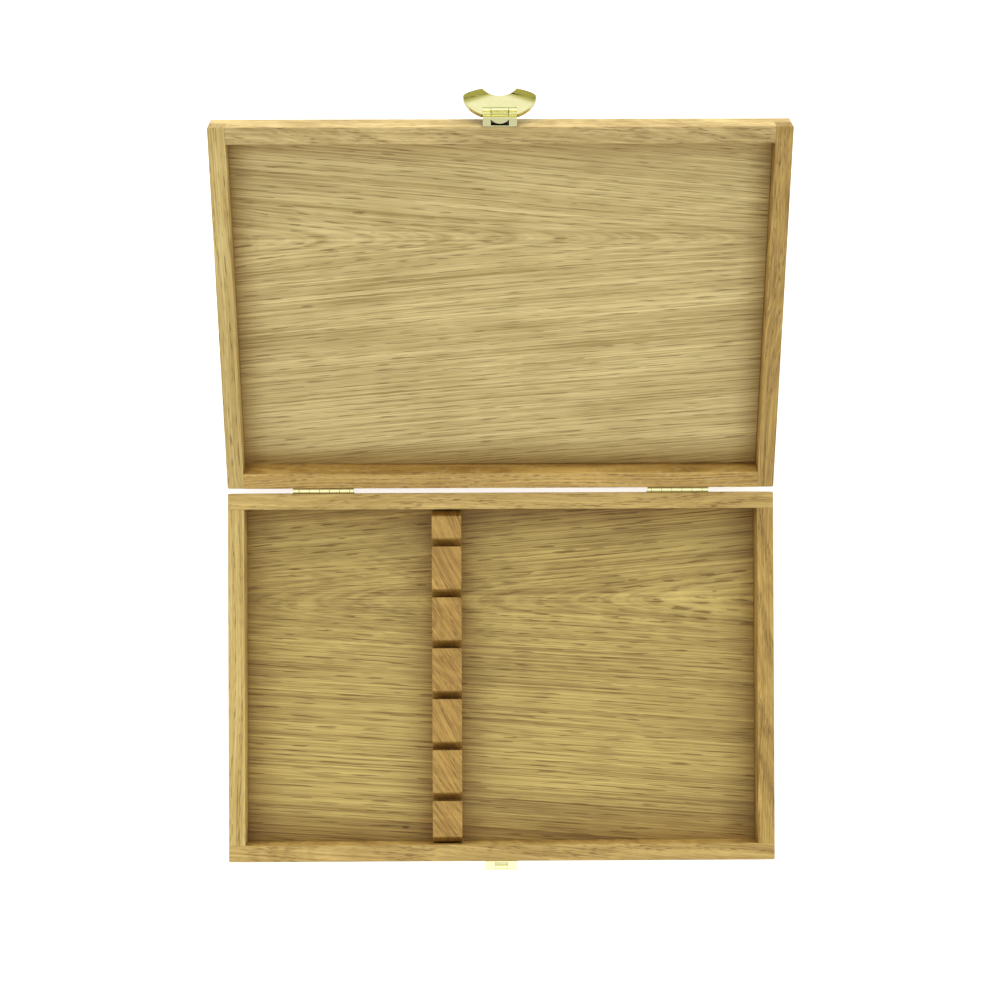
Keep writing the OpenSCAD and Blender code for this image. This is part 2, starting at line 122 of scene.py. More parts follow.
@dataclass(frozen=True)
class Oak:
    """European oak, sawn to a thin board, planed, sanded and given a thin matt wax.

    The eye gets pale honey wood with rings that open into arches, dark hair-like pores where each
    ring starts, and no gloss but a faint reflection at a low angle.
    """

    name: str
    light: str
    dark: str
    # Where the heart of the tree lay, across and below the middle of the board
    heart: tuple[float, float]
    # Angles between the board and the tree, in plan and through the thickness
    lean: tuple[float, float]
    # Tells the board from the others
    seed: float
    grain: Grain = Grain.ALONG_X
    pore: str = "#6f5224"
    # How much nearer the heart a ring lies for each millimetre along the board
    taper: float = 0.0
    # Width of a year ring, and how strongly it shows
    ring: float = 2.6
    ring_depth: float = 0.16
    # How dark the pores are
    pores: float = 0.6
    # How long the lines of the grain run, against those of a straight, quiet board
    run: float = 1.0
    # The grain wanders sideways by up to twice this
    wander: float = 3.0
    # How pale the flecks are
    flecks: float = 0.0
    # Where a knot lies in the row frame
    knot: tuple[float, float] | None = None
    # Colour of the end grain, and how much of it shows; on the rack, near black, it is also a
    # painted shade in the slots
    end_grain_and_shade: tuple[str, float] = ("#8d7146", 0.55)
    # Tint of the painted shade in a corner, and how far it reaches
    corner: str = "#cbba94"
    corner_shade_reach: float = 14.0

    def way(self, centre: Vector, closing: Matrix) -> Matrix:
        """Works out the way from the row frame, in millimetres, to the tree's own frame.

        Args:
            centre: The board's middle in the closed box.
            closing: The matrix that carries the piece to its place in the closed box.

        Returns:
            A matrix after which X runs up the tree and the heart is the X axis.
        """
        plan, depth = (math.radians(a) for a in self.lean)
        tree = Euler((0.0, depth, plan)).to_matrix().to_4x4()
        board = Matrix.Rotation(math.radians(self.grain.value), 4, "Z")
        heart = Matrix.Translation((0.0, self.heart[0], self.heart[1]))
        return heart @ tree @ board @ Matrix.Translation(-centre) @ closing

    def material(self, centre: Vector, closing: Matrix) -> bpy.types.Material:
        """Builds the wood for one board.

        Args:
            centre: The board's middle in the closed box.
            closing: The matrix that carries the piece to its place in the closed box.

        Returns:
            The finished material.
        """
        material, tree = new_tree(self.name)
        way = self.way(centre, closing)
        spot = add_node(tree, "TexCoord", out="Object")
        wood = add_node(tree, "Mapping", {
            "Vector": spot, "Location": way.to_translation(), "Rotation": way.to_euler(),
            "Scale": (1 / MM,) * 3})
        wood = self.wandering(tree, wood)
        flow, wood = self.flow(tree, wood)
        ring, early = self.rings(tree, flow)
        # Pores of 0.3 mm would be lost in the picture, so they are drawn 0.55 mm wide
        pore = self.noise(tree, wood, (14.0, 0.55, 0.55), detail=0.0, rough=0.4)
        pore = add_node(tree, "ValToRGB", {"Fac": pore}, stops=[(0.57, 0.0), (0.66, 1.0)])
        crowd = add_node(tree, "MapRange", {"Value": early, "To Min": 0.3, "To Max": 1.0})
        pore = add_node(tree, "Math", {0: pore, 1: crowd}, operation="MULTIPLY")
        # Lines 0.5 mm to 1.8 mm thick, some straight up the tree and some that follow its rings
        fine = self.noise(tree, wood, (200.0, 0.5, 12.0), detail=1.0, rough=0.6)
        face = self.noise(tree, wood, (120.0, 1.0, 14.0), detail=1.0, rough=0.5, seed=9.0)
        edge = self.noise(tree, wood, (120.0, 14.0, 0.8), detail=1.0, rough=0.5, seed=4.0)
        line = self.noise(tree, flow, (220.0, 0.6, 40.0), detail=1.0, rough=0.6, seed=1.0)
        band = self.noise(tree, flow, (220.0, 1.8, 50.0), detail=1.0, rough=0.5, seed=6.0)
        broad = self.noise(tree, wood, (280.0, 9.0, 30.0), detail=1.0, rough=0.5)
        face, line = (add_node(tree, "MapRange", {"Value": part, "From Min": 0.38,
                                                  "From Max": 0.62}) for part in (face, line))
        tone = self.summed(tree, [
            (fine, 1.35), (face, 0.16), (edge, 0.6), (line, 0.26), (band, 0.45), (broad, 0.6),
            (ring, self.ring_depth)])
        colour = add_node(tree, "Mix", {0: tone, 6: linear(self.light), 7: linear(self.dark)},
                          out=2, data_type="RGBA")
        if self.flecks:
            # Rays that the saw meets lengthwise show as pale flecks 1 mm wide and 3 mm long
            fleck = self.noise(tree, wood, (7.0, 0.9, 4.0), detail=0.0, rough=0.5, seed=5.0)
            fleck = add_node(tree, "ValToRGB", {"Fac": fleck},
                             stops=[(0.60, 0.0), (0.70, self.flecks)])
            colour = add_node(tree, "Mix", {0: fleck, 6: colour, 7: linear("#e9dab2")},
                              out=2, data_type="RGBA")
        depth = add_node(tree, "Math", {0: pore, 1: self.pores}, operation="MULTIPLY")
        colour = add_node(tree, "Mix", {0: depth, 6: colour, 7: linear(self.pore)},
                          out=2, data_type="RGBA")
        colour = self.end_grain(tree, colour, way)
        if self.knot:
            colour = self.with_knot(tree, colour, spot, centre)
        colour = self.with_painted_corner_shade(tree, colour)
        gloss = add_node(tree, "MapRange", {"Value": pore, "To Min": 0.50, "To Max": 0.72})
        relief = add_node(tree, "Math", {0: pore, 1: -1.0}, operation="MULTIPLY")
        relief = add_node(tree, "Math", {0: face, 1: 0.35, 2: relief}, operation="MULTIPLY_ADD")
        bump = add_node(tree, "Bump", {"Height": relief, "Strength": 0.35, "Distance": 0.06 * MM})
        skin = add_node(tree, "BsdfPrincipled", {
            "Base Color": colour, "Roughness": gloss, "Normal": bump, "IOR": 1.5},
            out="BSDF")
        add_node(tree, "OutputMaterial", {"Surface": skin})
        return material

    def noise(self, tree: bpy.types.NodeTree, where: bpy.types.NodeSocket, grain: Triple,
              detail: float, rough: float, seed: float = 0.0, out: str = "Fac"
              ) -> bpy.types.NodeSocket:
        """Draws noise whose grains have a given length, width and thickness in millimetres.

        Args:
            tree: The material's node tree.
            where: Points in the tree's own frame.
            grain: Length up the tree, and width the two ways across it.
            detail: How many finer layers are added.
            rough: How strong those layers are.
            seed: Keeps two noises of one board apart.
            out: The output that is wanted.

        Returns:
            The noise, from 0 to 1.
        """
        length, wide, thick = grain
        where = add_node(tree, "VectorMath", {
            0: where, 1: (1.0 / (length * self.run), 1.0 / wide, 1.0 / thick)},
            operation="MULTIPLY")
        return add_node(tree, "TexNoise", {
            "Vector": where, "W": self.seed * SEED_STEP + seed, "Scale": 1.0, "Detail": detail,
            "Roughness": rough}, out=out, noise_dimensions="4D")

    def summed(self, tree: bpy.types.NodeTree,
               parts: list[tuple[bpy.types.NodeSocket, float]]) -> bpy.types.NodeSocket:
        """Adds up patterns that swing about one half, each with its own strength.

        Args:
            tree: The material's node tree.
            parts: Each pattern and its strength.

        Returns:
            The sum, which swings about one half too and is held between 0 and 1.
        """
        total = 0.5 - sum(strength / 2 for _, strength in parts)
        for part, strength in parts:
            total = add_node(tree, "Math", {0: part, 1: strength, 2: total},
                             operation="MULTIPLY_ADD", use_clamp=part is parts[-1][0])
        return total

    def wandering(self, tree: bpy.types.NodeTree,
                  where: bpy.types.NodeSocket) -> bpy.types.NodeSocket:
        """Lets the grain wander sideways as it runs, as it does past branches.

        Args:
            tree: The material's node tree.
            where: Points in the tree's own frame.

        Returns:
            The points, moved sideways.
        """
        drift = self.noise(tree, where, (240.0, 70.0, 70.0), detail=0.0, rough=0.4, seed=2.0,
                           out="Color")
        drift = add_node(tree, "VectorMath", {0: drift, 1: (0.5, 0.5, 0.5)}, operation="SUBTRACT")
        reach = self.wander * 4.0
        return add_node(tree, "VectorMath", {0: drift, 1: (0.0, reach, reach), 2: where},
                        operation="MULTIPLY_ADD")

    def flow(self, tree: bpy.types.NodeTree, where: bpy.types.NodeSocket
             ) -> tuple[bpy.types.NodeSocket, bpy.types.NodeSocket]:
        """Unrolls the tree, so that a pattern drawn along X follows the rings.

        Args:
            tree: The material's node tree.
            where: Points in the tree's own frame.

        Returns:
            The way up the tree, the distance from its heart and the way round it, and the points
            with the taper taken out, so that straight fibres follow the tapering trunk.
        """
        parts = tree.nodes.new("ShaderNodeSeparateXYZ")
        tree.links.new(where, parts.inputs[0])
        flat = add_node(tree, "VectorMath", {0: where, 1: (0.0, 1.0, 1.0)}, operation="MULTIPLY")
        radius = add_node(tree, "VectorMath", {0: flat}, out="Value", operation="LENGTH")
        whole = add_node(tree, "Math", {0: parts.outputs[0], 1: self.taper, 2: radius},
                         operation="MULTIPLY_ADD")
        turn = add_node(tree, "Math", {0: parts.outputs[1], 1: parts.outputs[2]},
                        operation="ARCTAN2")
        arc = add_node(tree, "Math", {0: turn, 1: radius}, operation="MULTIPLY")
        unrolled = add_node(tree, "CombineXYZ", {0: parts.outputs[0], 1: whole, 2: arc})
        # Within 18 mm of the heart the fibres run straight, so less of the taper is taken out
        broad = add_node(tree, "Math", {0: radius, 1: 18.0}, operation="MAXIMUM")
        share = add_node(tree, "Math", {0: parts.outputs[0], 1: self.taper}, operation="MULTIPLY")
        share = add_node(tree, "Math", {0: share, 1: broad}, operation="DIVIDE")
        share = add_node(tree, "Math", {0: share, 1: 1.0}, operation="ADD")
        flat = add_node(tree, "VectorMath", {0: flat, "Scale": share}, operation="SCALE")
        along = add_node(tree, "CombineXYZ", {0: parts.outputs[0]})
        return unrolled, add_node(tree, "VectorMath", {0: flat, 1: along}, operation="ADD")

    def rings(self, tree: bpy.types.NodeTree, flow: bpy.types.NodeSocket
              ) -> tuple[bpy.types.NodeSocket, bpy.types.NodeSocket]:
        """Draws the year rings round the heart.

        Args:
            tree: The material's node tree.
            flow: Points in the unrolled tree.

        Returns:
            How dark each place in its ring is, and how much of its early, porous wood it is.
        """
        radius = add_node(tree, "SeparateXYZ", {0: flow}, out=1)
        wave = self.noise(tree, flow, (240.0, 9.0, 80.0), detail=0.0, rough=0.5, seed=3.0)
        count = add_node(tree, "Math", {0: radius, 1: 1.0 / self.ring}, operation="MULTIPLY")
        count = add_node(tree, "Math", {0: wave, 1: 1.2, 2: count}, operation="MULTIPLY_ADD")
        year = add_node(tree, "Math", {0: count}, operation="FRACT")
        dark = add_node(tree, "ValToRGB", {"Fac": year}, stops=[
            (0.0, 0.6), (0.10, 1.0), (0.34, 0.6), (0.66, 0.4), (0.82, 0.0), (1.0, 0.6)])
        early = add_node(tree, "ValToRGB", {"Fac": year}, stops=[
            (0.0, 0.5), (0.08, 1.0), (0.30, 0.8), (0.5, 0.12), (0.93, 0.0), (1.0, 0.5)])
        return dark, early

    def end_grain(self, tree: bpy.types.NodeTree, colour: bpy.types.NodeSocket,
                  way: Matrix) -> bpy.types.NodeSocket:
        """Darkens the faces that the saw cut straight across the grain.

        Args:
            tree: The material's node tree.
            colour: The wood's colour so far.
            way: The matrix from the row frame to the tree's own frame.

        Returns:
            The colour with end grain.
        """
        up_tree = way.to_3x3().inverted() @ Vector((1.0, 0.0, 0.0))
        facing = add_node(tree, "TexCoord", out="Normal")
        facing = add_node(tree, "VectorMath", {0: facing, 1: up_tree}, out="Value",
                          operation="DOT_PRODUCT")
        facing = add_node(tree, "Math", {0: facing}, operation="ABSOLUTE")
        shade, depth = self.end_grain_and_shade
        share = add_node(tree, "MapRange", {"Value": facing, "From Min": 0.72, "From Max": 0.9,
                                            "To Max": depth})
        return add_node(tree, "Mix", {0: share, 6: colour, 7: linear(shade)}, out=2,
                        data_type="RGBA")

    def with_painted_corner_shade(self, tree: bpy.types.NodeTree, colour: bpy.types.NodeSocket
                     ) -> bpy.types.NodeSocket:
        """Paints warm shade into the wood in the corners, close to what stands beside it.

        Args:
            tree: The material's node tree.
            colour: The wood's colour so far.

        Returns:
            The colour with painted warm, dark shade in the corners.
        """
        # Painted shade: the less open sky a place sees within the reach, the more of the corner
        # tint is multiplied in
        open_sky = add_node(tree, "AmbientOcclusion", {"Distance": self.corner_shade_reach * MM},
                            out="AO", samples=4)
        share = add_node(tree, "MapRange", {"Value": open_sky, "From Min": 0.4, "From Max": 0.95,
                                            "To Min": 1.0, "To Max": 0.0})
        return add_node(tree, "Mix", {0: share, 6: colour, 7: linear(self.corner)}, out=2,
                        data_type="RGBA", blend_type="MULTIPLY")

    def with_knot(self, tree: bpy.types.NodeTree, colour: bpy.types.NodeSocket,
                  spot: bpy.types.NodeSocket, centre: Vector) -> bpy.types.NodeSocket:
        """Draws one dark pin knot, 3 mm to each side along the grain and 1.3 mm across it.

        Args:
            tree: The material's node tree.
            colour: The wood's colour so far.
            spot: Object coordinates, in metres.
            centre: The board's middle.

        Returns:
            The colour with the knot.
        """
        knot = (*self.knot, centre.z)
        size = (2.0, 0.8, 6.0)
        near = add_node(tree, "Mapping", {
            "Vector": spot, "Location": [-at / wide for at, wide in zip(knot, size)],
            "Scale": [1000 / wide for wide in size]})
        far = add_node(tree, "VectorMath", {0: near}, out="Value", operation="LENGTH")
        share = add_node(tree, "MapRange", {"Value": far, "From Min": 0.35, "From Max": 1.6,
                                            "To Min": 0.85, "To Max": 0.0},
                         interpolation_type="SMOOTHSTEP")
        return add_node(tree, "Mix", {0: share, 6: colour, 7: linear("#4a2f12")}, out=2,
                        data_type="RGBA")


class Working(Enum):
    """How a brass surface was made: its roughness, and the length and width of its marks."""

    POLISHED = (0.16, 1.2, 0.25)
    ROLLED = (0.26, 14.0, 0.2)
    TURNED = (0.30, 0.4, 0.4)
    DRAWN = (0.24, 20.0, 0.15)


@dataclass(frozen=True)
class Brass:
    """Common yellow brass, bright and not lacquered, with painted shade in its corners.

    The eye gets a pale gold that takes the colour of the white room, and a near-black painted shade
    where it looks into a gap.
    """

    name: str
    working: Working
    bright: str = "#e9e6b0"
    dull: str = "#dcd8a2"
    # Colour of the painted shade
    shade_colour: str = "#1c150a"
    # How far from a face the painted shade looks for others, and the share of open sky below which
    # it is black and above which it is bright
    reach: float = 2.0
    unshaded_share: tuple[float, float] = (0.1, 0.4)
    # A face that looks this way gets a near-black painted shade where others hide it
    behind: Vector | None = None
    shaded_facing_reach: float = 9.0

    def material(self) -> bpy.types.Material:
        """Builds the metal."""
        material, tree = new_tree(self.name)
        rough, length, width = self.working.value
        spot = add_node(tree, "TexCoord", out="Object")
        marks = add_node(tree, "Mapping", {
            "Vector": spot, "Scale": (1000 / length, 1000 / width, 1000 / width)})
        marks = add_node(tree, "TexNoise", {"Vector": marks, "Scale": 1.0, "Detail": 3.0})
        cloud = add_node(tree, "TexNoise", {"Vector": spot, "Scale": 1000 / 5.0, "Detail": 3.0})
        colour = add_node(tree, "Mix", {0: cloud, 6: linear(self.bright), 7: linear(self.dull)},
                          out=2, data_type="RGBA")
        # Painted shade: below the given share of open sky the brass turns into a near-black diffuse
        unshaded_share = add_node(tree, "AmbientOcclusion", {"Distance": self.reach * MM}, out="AO",
                         samples=8)
        unshaded_share = add_node(tree, "MapRange", {
            "Value": unshaded_share, "From Min": self.unshaded_share[0], "From Max": self.unshaded_share[1]})
        # Painted shade, deep and wide, on the faces that look the given way
        if self.behind:
            way = add_node(tree, "TexCoord", out="Normal")
            way = add_node(tree, "VectorMath", {0: way, 1: self.behind}, out="Value",
                           operation="DOT_PRODUCT")
            way = add_node(tree, "MapRange", {"Value": way, "From Min": 0.985, "From Max": 0.995,
                                              "To Min": 1.0, "To Max": 0.0})
            deep = add_node(tree, "AmbientOcclusion", {"Distance": self.shaded_facing_reach * MM},
                            out="AO", samples=8)
            deep = add_node(tree, "MapRange", {"Value": deep, "From Min": 0.4, "From Max": 0.8})
            way = add_node(tree, "Math", {0: way, 1: deep}, operation="MAXIMUM")
            unshaded_share = add_node(tree, "Math", {0: unshaded_share, 1: way}, operation="MINIMUM")
        gloss = add_node(tree, "MapRange", {"Value": marks, "To Min": rough - 0.05,
                                            "To Max": rough + 0.10})
        bump = add_node(tree, "Bump", {"Height": marks, "Strength": 0.25, "Distance": 0.01 * MM})
        skin = add_node(tree, "BsdfPrincipled", {
            "Base Color": colour, "Metallic": 1.0, "Roughness": gloss, "Normal": bump},
            out="BSDF")
        painted_shade = add_node(tree, "BsdfDiffuse", {"Color": linear(self.shade_colour)})
        skin = add_node(tree, "MixShader", {0: unshaded_share, 1: painted_shade, 2: skin})
        add_node(tree, "OutputMaterial", {"Surface": skin})
        return material


@dataclass
class SubAssembly:
    """What the box's sub-assemblies share: sizes, the lid's joint, and how a piece is dressed."""

    nodes: dict[str, bpy.types.Object]
    joints: list[dict[str, Any]]
    body: str = "base"
    box_w: float = 300.0
    box_d: float = 202.5
    wall_t: float = 9.0
    corner_r: float = 0.8
    # Heights of the open rim and of the panel's outer face in the closed box
    rim: float = 22.0
    far: float = 0.0
    # How far the edges of a rim and of a joint between boards are eased, and the share of the
    # rim's ease that its inner edge has
    rim_arris: float = 0.35
    joint_arris: float = 0.09
    inner_share: float = 0.8
    pieces: list[bpy.types.Object] = field(default_factory=list)

    @property
    def closing(self) -> Matrix:
        """The matrix, in millimetres, that carries this body's pieces to the closed box."""
        if self.body == "base":
            return Matrix.Identity(4)
        joint = next(j for j in self.joints if j["name"] == "lid_hinge")
        pin = Matrix.Translation(Vector(joint["pos_m"]) / MM)
        turn = Matrix.Rotation(math.radians(joint["range_deg"][1]), 4, Vector(joint["axis"]))
        return pin @ turn @ pin.inverted()

    def taken(self, node: str, cuts: tuple[tuple[int, float], ...] = ()) -> bmesh.types.BMesh:
        """Copies a node's mesh, in millimetres in the closed box, with its loose faces merged.

        Args:
            node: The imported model's node.
            cuts: Planes, each an axis and a place, along which flat faces stay apart.

        Returns:
            The copy, with flat faces made one again between the cuts.
        """
        bm = bmesh.new()
        bm.from_mesh(self.nodes[node].data)
        bmesh.ops.scale(bm, vec=(1 / MM,) * 3, verts=bm.verts)
        bmesh.ops.transform(bm, matrix=self.closing, verts=bm.verts)
        bmesh.ops.remove_doubles(bm, verts=bm.verts, dist=WELD)
        for axis, at in cuts:
            normal = Vector((0.0, 0.0, 0.0))
            normal[axis] = 1.0
            cut = bmesh.ops.bisect_plane(bm, geom=bm.verts[:] + bm.edges[:] + bm.faces[:],
                                         dist=WELD, plane_co=normal * at, plane_no=normal)
            for part in cut["geom_cut"]:
                if isinstance(part, bmesh.types.BMEdge):
                    part.seam = True
        bmesh.ops.dissolve_limit(bm, angle_limit=FLAT, verts=bm.verts, edges=bm.edges,
                                 delimit={"SEAM"})
        return bm

    def centre(self, node: str) -> Vector:
        """The middle of a node in the closed box."""
        bm = self.taken(node)
        low = Vector([min(v.co[i] for v in bm.verts) for i in range(3)])
        high = Vector([max(v.co[i] for v in bm.verts) for i in range(3)])
        bm.free()
        return (low + high) / 2

    def weigh(self, bm: bmesh.types.BMesh, arris: Callable[[Vector], float],
              widest: float) -> None:
        """Marks how far each sharp edge is eased.

        Args:
            bm: The piece, in millimetres in the closed box.
            arris: Gives the ease of an edge from its middle, in millimetres.
            widest: The ease that counts as a weight of 1.
        """
        layer = bm.edges.layers.float.new("bevel_weight_edge")
        for edge in bm.edges:
            if len(edge.link_faces) == 2 and edge.is_convex \
                    and edge.calc_face_angle(0.0) > SMOOTH:
                edge[layer] = arris((edge.verts[0].co + edge.verts[1].co) / 2) / widest

    def placed(self, bm: bmesh.types.BMesh, name: str, node: str, slot: str,
               material: bpy.types.Material, ease: float, segments: int = 3
               ) -> bpy.types.Object:
        """Turns a finished shape into a piece that stands for its node.

        Args:
            bm: The piece, in millimetres in the closed box. It is freed.
            name: The piece's name.
            node: The node that it replaces.
            slot: The record's material slot; not used.
            material: Its finish.
            ease: The widest ease of its edges, in millimetres.
            segments: Number of facets round each eased edge.

        Returns:
            The piece, riding on its body.
        """
        bmesh.ops.transform(bm, matrix=self.closing.inverted(), verts=bm.verts)
        bmesh.ops.scale(bm, vec=(MM,) * 3, verts=bm.verts)
        mesh = bpy.data.meshes.new(name)
        bm.to_mesh(mesh)
        bm.free()
        mesh.shade_smooth()
        mesh.set_sharp_from_angle(angle=SMOOTH)
        mesh.materials.append(material)
        piece = bpy.data.objects.new(name, mesh)
        bpy.context.scene.collection.objects.link(piece)
        bevel = piece.modifiers.new("eased", "BEVEL")
        bevel.limit_method = "WEIGHT"
        bevel.width = ease * MM
        bevel.segments = segments
        bevel.profile = 0.5
        bevel.use_clamp_overlap = False
        bevel.harden_normals = True
        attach(piece, self.body)
        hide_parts(node)
        self.pieces.append(piece)
        return piece

    def wall(self, node: str, finish: Oak) -> None:
        """Dresses one wall: eased rims, fine joint lines and its own wood.

        Args:
            node: The wall's node.
            finish: Its wood.
        """
        wide, deep = self.box_w / 2 - self.wall_t, self.box_d / 2 - self.wall_t
        bm = self.taken(node, ((0, wide), (0, -wide), (1, deep), (1, -deep)))
        self.weigh(bm, self.wall_arris, self.rim_arris)
        material = finish.material(self.centre(node), self.closing)
        self.placed(bm, node + "_board", node, "oak_walls", material, self.rim_arris)

    def wall_arris(self, at: Vector) -> float:
        """The ease of a wall's edge: wide on the outside and the rim, fine where boards meet."""
        x, y = abs(at.x), abs(at.y)
        rim, far = abs(at.z - self.rim) < FLUSH, abs(at.z - self.far) < FLUSH
        edge = x > self.box_w / 2 - self.corner_r or y > self.box_d / 2 - self.corner_r
        inner = self.wall_t + FLUSH
        corner = x > self.box_w / 2 - inner and y > self.box_d / 2 - inner
        if (rim or far) and edge:
            return self.rim_arris
        if corner or far:
            return self.joint_arris
        return self.rim_arris * self.inner_share if rim else 0.0

    def panel(self, node: str, finish: Oak) -> None:
        """Dresses a panel, whose outer edges meet the walls in a fine line.

        Args:
            node: The panel's node.
            finish: Its wood.
        """
        bm = self.taken(node)
        self.weigh(bm, lambda at: self.joint_arris if abs(at.z - self.far) < FLUSH else 0.0,
                   self.joint_arris)
        material = finish.material(self.centre(node), self.closing)
        self.placed(bm, node + "_board", node, "oak_panels", material, self.joint_arris)

    def metal(self, node: str, finish: Brass, slot: str, ease: float, segments: int = 2,
              tips: tuple[Triple, ...] = ()) -> None:
        """Dresses a brass piece, with every sharp edge broken alike.

        Args:
            node: The piece's node.
            finish: Its metal.
            slot: The record's material slot.
            ease: How far its edges are broken, in millimetres.
            segments: Number of facets round each edge.
            tips: Sharp corners in the row frame, towards which the broken edges run out.
        """
        bm = self.taken(node)
        points = [self.closing @ Vector(tip) for tip in tips]
        fine, whole = 3.0, 6.0

        def arris(at: Vector) -> float:
            """The ease of one edge: a tenth close to a tip, and whole 6 mm away from it."""
            near = min(((at - point).length for point in points), default=whole)
            return ease * min(max((near - fine) / (whole - fine), 0.1), 1.0)

        self.weigh(bm, arris, ease)
        piece = self.placed(bm, node + "_metal", node, slot, finish.material(), ease, segments)
        flat = piece.modifiers.new("flat_faces", "WEIGHTED_NORMAL")
        flat.weight, flat.keep_sharp = 100, True


@dataclass
class BaseTray(SubAssembly):
    """The lower half: four finger-jointed walls and a floor panel let in from below."""

    def build(self) -> None:
        """Dresses the walls and the floor."""
        self.wall("base_front_wall", Oak(
            "waxed_oak_base_front", light="#dabb6e", dark="#957534", heart=(10.0, 35.0),
            lean=(5.0, 2.0), ring=3.4, ring_depth=0.35, run=0.35, wander=1.5, seed=1))
        self.wall("base_back_wall", Oak(
            "waxed_oak_base_back", light="#dfc175", dark="#9f7f3a", heart=(20.0, 60.0),
            lean=(0.8, 1.0), ring=2.4, run=0.35, wander=1.5, seed=2))
        self.wall("base_left_wall", Oak(
            "waxed_oak_base_left", grain=Grain.ALONG_Y, light="#e2c87d", dark="#aa8b42",
            heart=(40.0, 20.0), lean=(0.8, 1.0), ring=2.8, run=0.5, wander=1.5, seed=3))
        self.wall("base_right_wall", Oak(
            "waxed_oak_base_right", grain=Grain.ALONG_Y, light="#cfad5c", dark="#876627",
            heart=(6.0, 30.0), lean=(1.2, 3.0), ring=3.0, run=0.4, seed=4))
        # Its corner tint and wide reach paint the shade along the foot of the walls
        self.panel("base_floor", Oak(
            "waxed_oak_base_floor", light="#e0c774", dark="#886b2d", heart=(-41.0, 8.0),
            lean=(-0.3, 0.3), taper=-0.075, ring=2.8, ring_depth=0.10, pores=0.75,
            corner="#c3ae80", corner_shade_reach=20.0, wander=1.4, knot=(-53.5, -85.0), seed=5))


@dataclass
class Lid(SubAssembly):
    """The upper half: four finger-jointed walls and a thinner panel, the same way round."""

    def build(self) -> None:
        """Dresses the walls and the panel."""
        # Its dark corner tint with a short reach paints a thin contact shadow round the clasp
        # bracket
        self.wall("lid_front_wall", Oak(
            "waxed_oak_lid_front", light="#dec483", dark="#977a3e", heart=(10.0, 50.0),
            lean=(-1.5, 3.0), ring=3.0, flecks=0.1, wander=2.0, corner="#7a5a30", corner_shade_reach=2.0,
            run=0.5, seed=6))
        self.wall("lid_back_wall", Oak(
            "waxed_oak_lid_back", light="#dcb865", dark="#99732f", heart=(50.0, 8.0),
            lean=(1.0, 1.0), flecks=0.15, run=0.4, wander=1.5, seed=7))
        self.wall("lid_left_wall", Oak(
            "waxed_oak_lid_left", grain=Grain.ALONG_Y, light="#e4cc84", dark="#ae8f46",
            heart=(45.0, 10.0), lean=(0.5, 1.0), ring=3.0, run=0.5, wander=1.5, seed=8))
        self.wall("lid_right_wall", Oak(
            "waxed_oak_lid_right", grain=Grain.ALONG_Y, light="#cba95a", dark="#836125",
            heart=(8.0, 25.0), lean=(1.0, 3.0), ring=3.2, run=0.4, seed=9))
        # Its corner tint paints the shade near the lid's walls
        self.panel("lid_panel", Oak(
            "waxed_oak_lid_panel", light="#eed997", dark="#a58b4b", heart=(37.0, 8.0),
            lean=(0.0, -0.3), taper=0.085, ring=2.8, wander=1.0, corner="#c6b286",
            seed=10))


@dataclass
class KnifeRack(SubAssembly):
    """The bar across the tray, with one leaning saw cut for each knife."""

    arris: float = 0.18

    def build(self) -> None:
        """Dresses the rack, with every sharp edge taken off by hand."""
        node = "knife_rack"
        bm = self.taken(node)
        self.weigh(bm, lambda at: self.arris, self.arris)
        # Its end grain is near black, partly the real darker end grain and partly a painted shade
        # down in the leaning slots
        wood = Oak("sanded_oak_rack", grain=Grain.ALONG_Y, light="#cda655", dark="#8b6524",
                   heart=(3.0, 22.0), lean=(-30.0, 9.0), pores=0.45, run=0.3,
                   end_grain_and_shade=("#3b290f", 0.9), corner_shade_reach=5.0, seed=11)
        material = wood.material(self.centre(node), self.closing)
        self.placed(bm, node + "_bar", node, "oak_rack", material, self.arris)


@dataclass
class StripHinges(SubAssembly):
    """Two pieces cut from rolled brass strip hinge, with their pins and round-head screws."""

    edge: float = 0.07

    def build(self) -> None:
        """Dresses the leaves, pins and screws that ride on this body."""
        # The strip's painted shade reaches further and sets in sooner, darkening the knuckles and
        # the leaf by the wood
        rolled = Brass("rolled_brass_strip", Working.ROLLED, reach=4.0, unshaded_share=(0.4, 0.8))
        turned = Brass("turned_brass_screws", Working.TURNED, bright="#e2cf86")
        drawn = Brass("drawn_brass_wire", Working.DRAWN, bright="#dcc87c")
        for side in ("left", "right"):
            self.metal(f"{side}_hinge_{self.body}_leaf", rolled, "brass_hinges", self.edge)
            if self.body == "base":
                self.metal(f"{side}_hinge_pin", drawn, "brass_pins", self.edge)
        self.metal(f"{self.body}_hinge_screws", turned, "brass_screws", self.edge)


